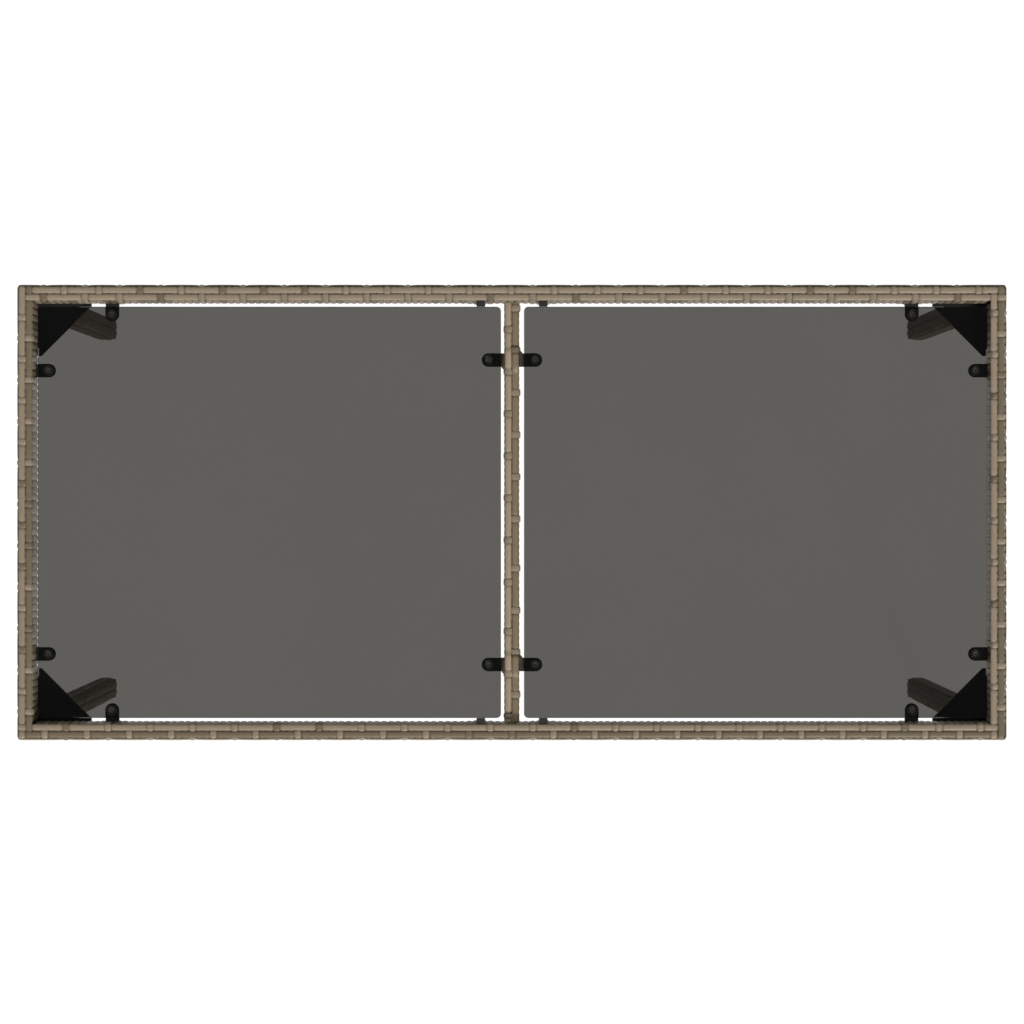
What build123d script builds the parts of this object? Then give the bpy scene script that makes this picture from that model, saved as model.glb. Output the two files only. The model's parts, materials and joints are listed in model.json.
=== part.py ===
from build123d import *

import os

# Wicker coffee table: a welded steel frame with one cross bar, four bolted legs, flat synthetic
# wicker woven round every tube, and two loose glass panes that rest on soft cups.
# Millimetres. The origin is on the floor under the table's centre, +X runs along the table,
# +Y towards its back and +Z up.

os.makedirs("parts", exist_ok=True)

# Overall size, over the wicker
TABLE_LENGTH = 1100.0
TABLE_WIDTH = 505.0
TABLE_HEIGHT = 400.0

# Steel sections: the rails' tubes stand on edge and the cross bar's is square
RAIL_TUBE = 14.0
RAIL_HEIGHT = 23.2
RAIL_WALL = 1.0
BAR_TUBE = 14.0
LEG_TUBE = 22.0
LEG_WALL = 1.2

# Wicker: one layer of wraps round the tube, and a second layer of long strands where it shows
WRAP = 1.4
WRAP_AND_STRAND = 2.8
LEG_WICKER = 2.8

# Glass panes, which lie a little to the right of the table's middle
GLASS_LENGTH = 514.3
GLASS_WIDTH = 456.7
GLASS_THICKNESS = 5.0
GLASS_CORNER = 5.0
GLASS_BEVEL = 0.6
GLASS_FROM_CENTRE = 12.75
GLASS_SHIFT = 0.55
GLASS_BELOW_WICKER = 1.5

# Support tabs and strips, and the soft cups in them
TAB_WIDTH = 15.0
TAB_THICKNESS = 2.5
TAB_HOLE = 3.2
CUP_RADIUS = 5.6
CUP_HEIGHT = 3.0
CUP_STEM = 3.1
CUP_BARB_RADIUS = 4.0
CUP_BARB_HEIGHT = 1.6
CUP_HOLLOW_TOP = 4.8
CUP_HOLLOW_BOTTOM = 1.2
CUP_HOLLOW_DEPTH = 1.8
BAR_CUP_X = 26.2
BAR_CUP_Y = 169.6
SHORT_RAIL_CUP_X = 515.8
SHORT_RAIL_CUP_Y = 157.8
LONG_RAIL_CUP_X = 445.3
LONG_RAIL_CUP_Y = 220.2

# Side stops beside the glass
STOP_X = 34.7
STOP_WIDTH = 9.6
STOP_HEIGHT = 8.0
STOP_CLEARANCE = 0.5
STOP_BELOW_GLASS = 0.5
STOP_ROUNDING = 1.0

# Legs and their top plates
LEG_X = 536.2
LEG_Y = 237.0
PLATE_THICKNESS = 3.0
PLATE_ARM = 74.3
PLATE_END = 18.3
FOOT_FLANGE = 24.0
FOOT_FLANGE_HEIGHT = 3.0
FOOT_PLUG_HEIGHT = 18.0
FOOT_PLUG_WALL = 1.8
FOOT_CLEARANCE = 0.2
FOOT_CHAMFER = 0.8

# M5 fasteners, four to a leg
BOLT_FROM_CORNER = (33.2, 61.2)
BOLT_SHANK = 2.4
BOLT_LENGTH = 12.0
BOLT_HEAD_RADIUS = 4.75
BOLT_HEAD_HEIGHT = 2.6
BOLT_HEAD_ROUNDING = 1.4
HEX_KEY = 3.0
HEX_DEPTH = 1.6
PLATE_HOLE = 2.75
WASHER_RADIUS = 5.0
WASHER_THICKNESS = 1.0
NUT_BORE = 2.5
NUT_BODY = 3.4
NUT_BODY_LENGTH = 9.0
NUT_BULGE = 4.2
NUT_BULGE_HEIGHT = 2.5
NUT_FLANGE_RADIUS = 4.6
NUT_FLANGE_HEIGHT = 0.9
NUT_TUBE_HOLE = 3.5
NUT_WICKER_HOLE = 5.4

# Levels
TUBE_TOP = TABLE_HEIGHT - WRAP_AND_STRAND
TUBE_BOTTOM = TUBE_TOP - RAIL_HEIGHT
WICKER_BOTTOM = TUBE_BOTTOM - WRAP
PLATE_BOTTOM = WICKER_BOTTOM - PLATE_THICKNESS
GLASS_TOP = TABLE_HEIGHT - GLASS_BELOW_WICKER
GLASS_BOTTOM = GLASS_TOP - GLASS_THICKNESS
TAB_TOP = GLASS_BOTTOM - CUP_HEIGHT
TAB_BOTTOM = TAB_TOP - TAB_THICKNESS
STOP_TOP = GLASS_TOP - STOP_BELOW_GLASS
BAR_TUBE_TOP = TAB_BOTTOM
BAR_TUBE_BOTTOM = BAR_TUBE_TOP - BAR_TUBE

# Distances of the rails' steel faces from the table's centre planes
LONG_RAIL_OUTER = TABLE_WIDTH / 2 - WRAP_AND_STRAND
LONG_RAIL_INNER = LONG_RAIL_OUTER - RAIL_TUBE
SHORT_RAIL_OUTER = TABLE_LENGTH / 2 - WRAP_AND_STRAND
SHORT_RAIL_INNER = SHORT_RAIL_OUTER - RAIL_TUBE

# The corner mitres lie on the lines |x| - |y| = MITRE
MITRE = (TABLE_LENGTH - TABLE_WIDTH) / 2

SIDES = {"front": -1, "back": 1}
ENDS = {"left": -1, "right": 1}
CORNERS = [(end, side) for end in ENDS for side in SIDES]


def finish(piece, name):
    """Labels a finished sub-part and writes its STEP file."""
    piece.part.label = name
    export_step(piece.part, f"parts/{name}.step")


def long_rail_plan(side, inner, outer):
    """Plan of a rail along X between two distances from the centre, mitred at both ends."""
    return [
        (-MITRE - inner, side * inner),
        (MITRE + inner, side * inner),
        (MITRE + outer, side * outer),
        (-MITRE - outer, side * outer),
    ]


def short_rail_plan(end, inner, outer):
    """Plan of a rail along Y between two distances from the centre, mitred at both ends."""
    return [
        (end * inner, MITRE - inner),
        (end * outer, MITRE - outer),
        (end * outer, outer - MITRE),
        (end * inner, inner - MITRE),
    ]


def bolt_points(end, side):
    """Plan positions of one leg's four bolts, along the centre lines of its two rails."""
    corner_x = SHORT_RAIL_OUTER
    corner_y = LONG_RAIL_OUTER
    line_x = corner_x - RAIL_TUBE / 2
    line_y = corner_y - RAIL_TUBE / 2
    along_x = [(end * (corner_x - step), side * line_y) for step in BOLT_FROM_CORNER]
    along_y = [(end * line_x, side * (corner_y - step)) for step in BOLT_FROM_CORNER]
    return along_x + along_y


def at_height(points, height):
    """The same plan points lifted to one height."""
    return [(x, y, height) for x, y in points]


ALL_BOLTS = [point for end, side in CORNERS for point in bolt_points(ENDS[end], SIDES[side])]


def rail_tube(name, plan, inner, outer, direction):
    """Rectangular steel tube with mitred open ends and holes below for the rivet nuts."""
    with BuildPart() as tube:
        with BuildSketch(Plane.XY.offset(TUBE_BOTTOM)):
            Polygon(*plan(direction, inner, outer), align=None)
        extrude(amount=RAIL_HEIGHT)
        with BuildSketch(Plane.XY.offset(TUBE_BOTTOM + RAIL_WALL)):
            Polygon(*plan(direction, inner + RAIL_WALL, outer - RAIL_WALL), align=None)
        extrude(amount=RAIL_HEIGHT - 2 * RAIL_WALL, mode=Mode.SUBTRACT)
        with Locations(*at_height(ALL_BOLTS, TUBE_BOTTOM)):
            Cylinder(NUT_TUBE_HOLE, 2 * RAIL_WALL, mode=Mode.SUBTRACT)
    finish(tube, name)


def cross_bar_tube():
    """Square steel tube welded between the long rails, level with their undersides."""
    with BuildPart() as tube:
        with BuildSketch(Plane.XZ.offset(-LONG_RAIL_INNER)):
            with Locations((0, BAR_TUBE_BOTTOM + BAR_TUBE / 2)):
                Rectangle(BAR_TUBE, BAR_TUBE)
                Rectangle(BAR_TUBE - 2 * RAIL_WALL, BAR_TUBE - 2 * RAIL_WALL, mode=Mode.SUBTRACT)
        extrude(amount=2 * LONG_RAIL_INNER)
    finish(tube, "cross_bar_tube")


def rail_wicker(name, plan, inner, outer, direction, slots):
    """Woven cover round a rail, with openings for what is welded to the tube's inner face."""
    with BuildPart() as cover:
        with BuildSketch(Plane.XY.offset(WICKER_BOTTOM)):
            Polygon(*plan(direction, inner - WRAP, outer + WRAP_AND_STRAND), align=None)
        extrude(amount=TABLE_HEIGHT - WICKER_BOTTOM)
        with BuildSketch(Plane.XY.offset(TUBE_BOTTOM)):
            Polygon(*plan(direction, inner, outer), align=None)
        extrude(amount=RAIL_HEIGHT, mode=Mode.SUBTRACT)
        with Locations(*at_height(ALL_BOLTS, WICKER_BOTTOM)):
            Cylinder(NUT_WICKER_HOLE, 2 * WRAP, mode=Mode.SUBTRACT)
        for centre, size in slots:
            with Locations(centre):
                Box(*size, mode=Mode.SUBTRACT)
    finish(cover, name)


def long_rail_slots(side):
    """Openings in a long rail's cover for the cross bar, two tabs and two stops."""
    wall = side * (LONG_RAIL_INNER - WRAP / 2)
    tab_level = (TAB_BOTTOM + TAB_TOP) / 2
    stop_level = STOP_TOP - STOP_HEIGHT / 2
    bar_level = (BAR_TUBE_BOTTOM + BAR_TUBE_TOP) / 2
    slots = [((0, wall, bar_level), (BAR_TUBE, WRAP, BAR_TUBE))]
    for end in ENDS.values():
        slots.append(((end * LONG_RAIL_CUP_X, wall, tab_level), (TAB_WIDTH, WRAP, TAB_THICKNESS)))
        slots.append(((end * STOP_X, wall, stop_level), (STOP_WIDTH, WRAP, STOP_HEIGHT)))
    return slots


def short_rail_slots(end):
    """Openings in a short rail's cover for its two tabs."""
    wall = end * (SHORT_RAIL_INNER - WRAP / 2)
    level = (TAB_BOTTOM + TAB_TOP) / 2
    size = (WRAP, TAB_WIDTH, TAB_THICKNESS)
    return [((wall, side * SHORT_RAIL_CUP_Y, level), size) for side in SIDES.values()]


def cross_bar_wicker():
    """Woven cover round the cross bar, between the long rails' covers and over the two strips."""
    half_length = LONG_RAIL_INNER - WRAP
    width = BAR_TUBE + 2 * WRAP
    height = WRAP + BAR_TUBE + WRAP_AND_STRAND
    upright = (Align.CENTER, Align.CENTER, Align.MIN)
    strip_places = [(0, side * BAR_CUP_Y, TAB_BOTTOM) for side in SIDES.values()]
    with BuildPart() as cover:
        with BuildSketch(Plane.XZ.offset(-half_length)):
            with Locations((0, BAR_TUBE_BOTTOM - WRAP)):
                Rectangle(width, height, align=(Align.CENTER, Align.MIN))
        extrude(amount=2 * half_length)
        with Locations(*strip_places):
            Box(width, TAB_WIDTH + 2 * WRAP_AND_STRAND, TAB_THICKNESS + WRAP_AND_STRAND, align=upright)
            Box(width, TAB_WIDTH, TAB_THICKNESS, align=upright, mode=Mode.SUBTRACT)
        with BuildSketch(Plane.XZ.offset(-half_length)):
            with Locations((0, BAR_TUBE_BOTTOM)):
                Rectangle(BAR_TUBE, BAR_TUBE, align=(Align.CENTER, Align.MIN))
        extrude(amount=2 * half_length, mode=Mode.SUBTRACT)
    finish(cover, "cross_bar_wicker")


def glass_tab(name, root, towards, reach):
    """Flat steel tab from a tube's face, with a round end and a hole for the cup's stem."""
    face = Plane(origin=(*root, TAB_BOTTOM), x_dir=(*towards, 0), z_dir=(0, 0, 1))
    with BuildPart() as tab:
        with BuildSketch(face):
            Rectangle(reach, TAB_WIDTH, align=(Align.MIN, Align.CENTER))
            with Locations((reach, 0)):
                Circle(TAB_WIDTH / 2)
                Circle(TAB_HOLE, mode=Mode.SUBTRACT)
        extrude(amount=TAB_THICKNESS)
    finish(tab, name)


def cross_bar_strip(name, side):
    """Flat steel strip across the cross bar, with a round end and a cup's hole under each pane."""
    ends = [(end * BAR_CUP_X, side * BAR_CUP_Y) for end in ENDS.values()]
    with BuildPart() as strip:
        with BuildSketch(Plane.XY.offset(TAB_BOTTOM)):
            with Locations((0, side * BAR_CUP_Y)):
                SlotCenterToCenter(2 * BAR_CUP_X, TAB_WIDTH)
            with Locations(*ends):
                Circle(TAB_HOLE, mode=Mode.SUBTRACT)
        extrude(amount=TAB_THICKNESS)
    finish(strip, name)


def glass_cups(name, end):
    """The six soft cups under one pane: a hollow head, a stem and a barb below the tab."""
    points = [(end * LONG_RAIL_CUP_X, side * LONG_RAIL_CUP_Y) for side in SIDES.values()]
    points += [(end * SHORT_RAIL_CUP_X, side * SHORT_RAIL_CUP_Y) for side in SIDES.values()]
    points += [(end * BAR_CUP_X, side * BAR_CUP_Y) for side in SIDES.values()]
    upright = (Align.CENTER, Align.CENTER, Align.MIN)
    hanging = (Align.CENTER, Align.CENTER, Align.MAX)
    with BuildPart() as cups:
        with Locations(*at_height(points, TAB_TOP)):
            Cylinder(CUP_RADIUS, CUP_HEIGHT, align=upright)
            Cylinder(CUP_STEM, TAB_THICKNESS, align=hanging)
        with Locations(*at_height(points, TAB_BOTTOM)):
            Cylinder(CUP_BARB_RADIUS, CUP_BARB_HEIGHT, align=hanging)
        with Locations(*at_height(points, GLASS_BOTTOM)):
            Cone(CUP_HOLLOW_BOTTOM, CUP_HOLLOW_TOP, CUP_HOLLOW_DEPTH, align=hanging, mode=Mode.SUBTRACT)
    finish(cups, name)


def glass_stop(name, end, side):
    """Block on a long rail's inner face that keeps the pane from sliding sideways."""
    reach = LONG_RAIL_INNER - GLASS_WIDTH / 2 - STOP_CLEARANCE
    middle = LONG_RAIL_INNER - reach / 2
    with BuildPart() as stop:
        with BuildSketch(Plane.XY.offset(STOP_TOP - STOP_HEIGHT)):
            with Locations((end * STOP_X, side * middle)):
                Rectangle(STOP_WIDTH, reach)
        extrude(amount=STOP_HEIGHT)
        glass_edges = stop.edges().filter_by(Axis.Z).sort_by(Axis.Y, reverse=side < 0)[:2]
        fillet(glass_edges, STOP_ROUNDING)
    finish(stop, name)


def glass_pane(name, end):
    """Tempered pane with round corners and a fine bevel round both faces."""
    middle = end * (GLASS_FROM_CENTRE + GLASS_LENGTH / 2) + GLASS_SHIFT
    with BuildPart() as pane:
        with BuildSketch(Plane.XY.offset(GLASS_BOTTOM)):
            with Locations((middle, 0)):
                RectangleRounded(GLASS_LENGTH, GLASS_WIDTH, GLASS_CORNER)
        extrude(amount=GLASS_THICKNESS)
        rims = pane.faces().filter_by(Axis.Z).edges()
        chamfer(rims, GLASS_BEVEL)
    finish(pane, name)


def leg_plate(name, end, side):
    """Three-cornered steel plate on top of a leg, bolted up into the two rails above it."""
    outer_x = SHORT_RAIL_OUTER
    outer_y = LONG_RAIL_OUTER
    outline = [
        (outer_x, outer_y),
        (outer_x - PLATE_ARM, outer_y),
        (outer_x - PLATE_ARM, outer_y - PLATE_END),
        (outer_x - PLATE_END, outer_y - PLATE_ARM),
        (outer_x, outer_y - PLATE_ARM),
    ]
    with BuildPart() as plate:
        with BuildSketch(Plane.XY.offset(PLATE_BOTTOM)):
            Polygon(*[(end * x, side * y) for x, y in outline], align=None)
            with Locations(*bolt_points(end, side)):
                Circle(PLATE_HOLE, mode=Mode.SUBTRACT)
        extrude(amount=PLATE_THICKNESS)
    finish(plate, name)


def leg_tube(name, end, side):
    """Square steel leg, welded under its plate and open below for the foot cap."""
    with BuildPart() as tube:
        with BuildSketch(Plane.XY.offset(FOOT_FLANGE_HEIGHT)):
            with Locations((end * LEG_X, side * LEG_Y)):
                Rectangle(LEG_TUBE, LEG_TUBE)
                Rectangle(LEG_TUBE - 2 * LEG_WALL, LEG_TUBE - 2 * LEG_WALL, mode=Mode.SUBTRACT)
        extrude(amount=PLATE_BOTTOM - FOOT_FLANGE_HEIGHT)
    finish(tube, name)


def leg_wicker(name, end, side):
    """Woven cover round a leg, from the foot cap's flange up to the plate."""
    width = LEG_TUBE + 2 * LEG_WICKER
    with BuildPart() as cover:
        with BuildSketch(Plane.XY.offset(FOOT_FLANGE_HEIGHT)):
            with Locations((end * LEG_X, side * LEG_Y)):
                Rectangle(width, width)
                Rectangle(LEG_TUBE, LEG_TUBE, mode=Mode.SUBTRACT)
        extrude(amount=PLATE_BOTTOM - FOOT_FLANGE_HEIGHT)
    finish(cover, name)


def foot_cap(name, end, side):
    """Plastic glide: a flange on the floor and a hollow plug inside the leg tube."""
    plug = LEG_TUBE - 2 * LEG_WALL - 2 * FOOT_CLEARANCE
    hollow = plug - 2 * FOOT_PLUG_WALL
    with BuildPart() as cap:
        with BuildSketch():
            with Locations((end * LEG_X, side * LEG_Y)):
                Rectangle(FOOT_FLANGE, FOOT_FLANGE)
        extrude(amount=FOOT_FLANGE_HEIGHT)
        chamfer(cap.faces().sort_by(Axis.Z)[0].edges(), FOOT_CHAMFER)
        with BuildSketch(Plane.XY.offset(FOOT_FLANGE_HEIGHT)):
            with Locations((end * LEG_X, side * LEG_Y)):
                Rectangle(plug, plug)
                Rectangle(hollow, hollow, mode=Mode.SUBTRACT)
        extrude(amount=FOOT_PLUG_HEIGHT)
    finish(cap, name)


def leg_bolts():
    """Button-head bolts that hold the four legs, heads down."""
    under_washer = PLATE_BOTTOM - WASHER_THICKNESS
    upright = (Align.CENTER, Align.CENTER, Align.MIN)
    hanging = (Align.CENTER, Align.CENTER, Align.MAX)
    with BuildPart() as bolts:
        with Locations(*at_height(ALL_BOLTS, under_washer)):
            Cylinder(BOLT_HEAD_RADIUS, BOLT_HEAD_HEIGHT, align=hanging)
        head_bottoms = bolts.faces().filter_by(Axis.Z).group_by(Axis.Z)[0]
        fillet(head_bottoms.edges(), BOLT_HEAD_ROUNDING)
        with Locations(*at_height(ALL_BOLTS, under_washer)):
            Cylinder(BOLT_SHANK, BOLT_LENGTH, align=upright)
        with BuildSketch(Plane.XY.offset(under_washer - BOLT_HEAD_HEIGHT)):
            with Locations(*ALL_BOLTS):
                RegularPolygon(HEX_KEY / 2, 6, major_radius=False)
        extrude(amount=HEX_DEPTH, mode=Mode.SUBTRACT)
    finish(bolts, "leg_bolts")


def leg_washers():
    """Plain washers between the bolt heads and the plates."""
    with BuildPart() as washers:
        with BuildSketch(Plane.XY.offset(PLATE_BOTTOM - WASHER_THICKNESS)):
            with Locations(*ALL_BOLTS):
                Circle(WASHER_RADIUS)
                Circle(PLATE_HOLE, mode=Mode.SUBTRACT)
        extrude(amount=WASHER_THICKNESS)
    finish(washers, "leg_washers")


def rivet_nuts():
    """Rivet nuts set into the undersides of the rail tubes."""
    upright = (Align.CENTER, Align.CENTER, Align.MIN)
    hanging = (Align.CENTER, Align.CENTER, Align.MAX)
    with BuildPart() as nuts:
        with Locations(*at_height(ALL_BOLTS, TUBE_BOTTOM)):
            Cylinder(NUT_FLANGE_RADIUS, NUT_FLANGE_HEIGHT, align=hanging)
            Cylinder(NUT_BODY, NUT_BODY_LENGTH, align=upright)
        with Locations(*at_height(ALL_BOLTS, TUBE_BOTTOM + RAIL_WALL)):
            Cylinder(NUT_BULGE, NUT_BULGE_HEIGHT, align=upright)
        with Locations(*at_height(ALL_BOLTS, TUBE_BOTTOM)):
            Cylinder(NUT_BORE, 2 * NUT_BODY_LENGTH, mode=Mode.SUBTRACT)
    finish(nuts, "rivet_nuts")


for side_name, side in SIDES.items():
    faces = (long_rail_plan, LONG_RAIL_INNER, LONG_RAIL_OUTER, side)
    rail_tube(f"{side_name}_rail_tube", *faces)
    rail_wicker(f"{side_name}_rail_wicker", *faces, long_rail_slots(side))
    cross_bar_strip(f"cross_bar_strip_{side_name}", side)

for end_name, end in ENDS.items():
    faces = (short_rail_plan, SHORT_RAIL_INNER, SHORT_RAIL_OUTER, end)
    rail_tube(f"{end_name}_rail_tube", *faces)
    rail_wicker(f"{end_name}_rail_wicker", *faces, short_rail_slots(end))
    glass_pane(f"{end_name}_glass_pane", end)
    glass_cups(f"{end_name}_glass_cups", end)

cross_bar_tube()
cross_bar_wicker()

for end_name, side_name in CORNERS:
    end = ENDS[end_name]
    side = SIDES[side_name]
    where = f"{side_name}_{end_name}"
    leg_plate(f"leg_plate_{where}", end, side)
    leg_tube(f"leg_tube_{where}", end, side)
    leg_wicker(f"leg_wicker_{where}", end, side)
    foot_cap(f"foot_cap_{where}", end, side)
    glass_stop(f"glass_stop_{where}", end, side)
    glass_tab(
        f"long_rail_tab_{where}",
        root=(end * LONG_RAIL_CUP_X, side * LONG_RAIL_INNER),
        towards=(0, -side),
        reach=LONG_RAIL_INNER - LONG_RAIL_CUP_Y,
    )
    glass_tab(
        f"short_rail_tab_{where}",
        root=(end * SHORT_RAIL_INNER, side * SHORT_RAIL_CUP_Y),
        towards=(-end, 0),
        reach=SHORT_RAIL_INNER - SHORT_RAIL_CUP_X,
    )

leg_bolts()
leg_washers()
rivet_nuts()
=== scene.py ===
import json
import math
from typing import NamedTuple

import bmesh
import bpy
import numpy as np
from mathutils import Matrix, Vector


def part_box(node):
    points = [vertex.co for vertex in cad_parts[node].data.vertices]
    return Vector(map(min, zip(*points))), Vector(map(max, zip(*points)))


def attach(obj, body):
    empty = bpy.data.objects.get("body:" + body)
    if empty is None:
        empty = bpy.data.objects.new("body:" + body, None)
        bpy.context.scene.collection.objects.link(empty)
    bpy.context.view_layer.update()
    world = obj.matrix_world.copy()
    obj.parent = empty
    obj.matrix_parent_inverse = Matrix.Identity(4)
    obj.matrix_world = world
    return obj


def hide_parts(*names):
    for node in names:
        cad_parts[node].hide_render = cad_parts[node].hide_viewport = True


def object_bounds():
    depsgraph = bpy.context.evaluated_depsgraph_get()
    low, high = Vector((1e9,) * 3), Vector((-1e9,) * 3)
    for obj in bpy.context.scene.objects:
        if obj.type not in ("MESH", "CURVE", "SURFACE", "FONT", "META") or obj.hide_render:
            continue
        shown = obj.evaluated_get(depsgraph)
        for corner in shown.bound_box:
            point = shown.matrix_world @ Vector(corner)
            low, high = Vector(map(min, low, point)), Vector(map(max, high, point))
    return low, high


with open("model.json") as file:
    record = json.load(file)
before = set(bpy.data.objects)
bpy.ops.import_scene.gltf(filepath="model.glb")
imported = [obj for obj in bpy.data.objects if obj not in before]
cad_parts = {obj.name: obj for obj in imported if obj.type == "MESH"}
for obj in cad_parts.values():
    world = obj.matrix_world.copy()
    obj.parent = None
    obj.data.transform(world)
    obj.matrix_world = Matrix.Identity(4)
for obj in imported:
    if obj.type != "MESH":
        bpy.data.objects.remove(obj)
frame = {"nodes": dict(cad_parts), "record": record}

# A wicker coffee table seen from straight above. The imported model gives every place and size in
# metres; the weave is worked out here in millimetres and turned into metres in Mesh.build.

cad_low, cad_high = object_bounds()
MM = 0.001
QUARTER_TURN = math.pi / 2
rng = np.random.default_rng(7)

# Sizes of the strands. A wrap's half width is a share of the distance to the next wrap
WRAP_THICKNESS = 1.3
WRAP_SHARE = 0.49
STRAND_THICKNESS = 1.3
STRAND_HALF_WIDTH = 3.55
LEG_STRAND_HALF_WIDTH = 4.3
BAR_STRAND_HALF_WIDTH = 3.8

# How much a long strand arches where it floats, how far it wanders sideways, and how finely it's made
FLOAT_ARCH = 0.2
WANDER = 0.12
STRAND_STEP = 1.7

# How far from a face's middle its rows of long strands lie
ROW_OFFSET = 3.95
SIDE_ROW_OFFSET = 7.7
LEG_ROW_OFFSET = 4.5
BAR_ROW_OFFSET = 4.1
BAR_ROW_SHIFT = -0.45

# Radii of the tubes' corners under the weave
TUBE_ROUNDING = 1.2
LEG_ROUNDING = 1.6

# Every sixth wrap passes over a given row of long strands, and neighbouring rows are half a cycle apart
CYCLE = 6
HALF_CYCLE = 3

# How far from a wrap over it a long strand starts to rise, to arch and to come out of its painted shade, and
# over what length it does so
RISE_START = 2.4
RISE_LENGTH = 3.6
ARCH_START = 3.0
ARCH_LENGTH = 16.0
SHADE_START = 3.2
SHADE_LENGTH = 2.6

# How far from a row's middle a wrap over it starts to come down, and over what length it does so
CROSSING_START = 2.7
CROSSING_LENGTH = 1.7

# How far a wrap that passes over a strand stays off the next face before it lies down on it
CARRY = 6.0

# Painted shade on the wraps of a rail's inner face, beside the glass
INNER_FACE_PAINTED_SHADE = 0.6

# Shares of the wraps and of the legs' rows that are made of the darker of the two strand colours
DARK_WRAPS = 0.28
DARK_ROWS = 0.4

# Steps of brightness by which the strands differ: between wraps, between rows and along a row, and by which
# the cross bar and the legs are lighter or darker than the rails. The cross bar's lighter step is painted
# light, and the legs' darker step is painted shade in place of the shadow that the glass doesn't throw
WRAP_TINT_SPREAD = 0.5
ROW_TINT_SPREAD = 0.35
ROW_TINT_DRIFT = 0.6
BAR_PAINTED_LIGHT = 6.0
LEG_PAINTED_SHADE = -4.5

# How far the middle of a face's wraps stands off the steel, and how far from a tab they bulge more
BAR_FULLNESS = 0.7
LEG_FULLNESS = 0.9
BUMP_REACH = 20.0

# Gaps from the first and last wraps' centre lines to the ends of what they cover, and the numbers of
# wraps. The cross bar's wraps are spaced to beyond its ends and then pushed in to its end gap
RAIL_START_GAP = 2.6
RAIL_END_GAP = 5.3
BAR_BACK_OVERRUN = 0.9
BAR_FRONT_OVERRUN = 0.3
BAR_END_GAP = 2.9
BAR_WRAPS = 61
LEG_FOOT_GAP = 3.8
LEG_TOP_GAP = 4.2
LEG_WRAPS = 47
HEM_WRAPS = 3

# Gaps from a leg's long strands to its tube's ends
LEG_ROW_FOOT_GAP = 0.3
LEG_ROW_TOP_GAP = 0.2

# Lengths of a top strand's tail, behind the side strands or past the crossing rail's farther row
FOLD_TAIL = 3.6
TUCKED_TAIL = 2.5

# The steel strips across the cross bar, and how far the weave takes to climb over them
STRIP_HALF = 8.0
STRIP_THICKNESS = 2.5
STRIP_SLOPE = 7.0

# A strand bound over a strip's root, as (along, sideways, up) from the strip's middle on the bar's centre
# line, the way its crown leans and how much shade is painted on it at each of these points
ROOT_STRAND = [
    (-15.0, 6.6, 2.0), (-11.5, 7.2, 6.0), (-7.8, 9.4, 9.7), (0.0, 10.0, 10.1), (4.0, 9.8, 10.0),
    (6.8, 8.6, 9.9),
]
ROOT_LEAN = [(0, 1, 0), (0, 0.9, 0.4), (0, 0.5, 0.9), (0, 0.3, 1), (0, 0.3, 1), (0, 0.2, 1)]
ROOT_PAINTED_SHADE = (0.7, 0.75, 0.9, 1.25, 1.3, 1.3)
ROOT_HALF_WIDTH = 2.5

# The strand along a rail's upper outer edge: how far it runs under the wraps, how far it's sunk into the
# corner, and how much shade is painted on it
ARRIS_OVERLAP = 3.0
ARRIS_SUNK = 0.6
ARRIS_HALF_WIDTH = 2.2
ARRIS_PAINTED_SHADE = 0.4
ARRIS_POINTS = 4

# Points along a wrap on each face and round each corner
RAIL_STEPS = {"inner": 5, "top": 11, "outer": 17, "bottom": 5}
LEG_STEPS = {"inner": 13, "top": 13, "outer": 13, "bottom": 13}
BAR_STEPS = {"inner": 3, "top": 11, "outer": 3, "bottom": 6}
CORNER_STEPS = 3


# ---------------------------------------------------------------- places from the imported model


def box_mm(node):
    """Lowest and highest corner of a CAD node at rest, in millimetres."""
    low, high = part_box(node)
    return np.array(low) / MM, np.array(high) / MM


def middle_of(node):
    low, high = box_mm(node)
    return (low + high) / 2


# ---------------------------------------------------------------- meshes


def smooth_step(x):
    x = np.clip(x, 0.0, 1.0)
    return x * x * (3 - 2 * x)


def unit(v):
    return v / np.linalg.norm(v, axis=-1, keepdims=True)


# Width of a strand's flat back as a share of its whole width
BACK_WIDTH = 0.92


def strand_section(points, edge, power, rib):
    """Half-round section of a flat strand: a ribbed crown from side to side, then the flat back.

    edge is the height of its sides as a share of its crown's, and power how square it is."""
    across = np.sin(np.linspace(-1, 1, points) * QUARTER_TURN)
    height = edge + (1 - edge) * (1 - np.abs(across) ** power)
    height[2:-2:2] -= rib
    across = np.concatenate([across, [BACK_WIDTH, -BACK_WIDTH]])
    height = np.concatenate([height, [0.0, 0.0]])
    return across, height


STRAND_SECTION = strand_section(points=11, edge=0.15, power=3.2, rib=0.05)
WRAP_SECTION = strand_section(points=9, edge=0.15, power=2.4, rib=0.03)
BAR_WRAP_SECTION = strand_section(points=9, edge=0.6, power=2.4, rib=0.03)


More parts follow.
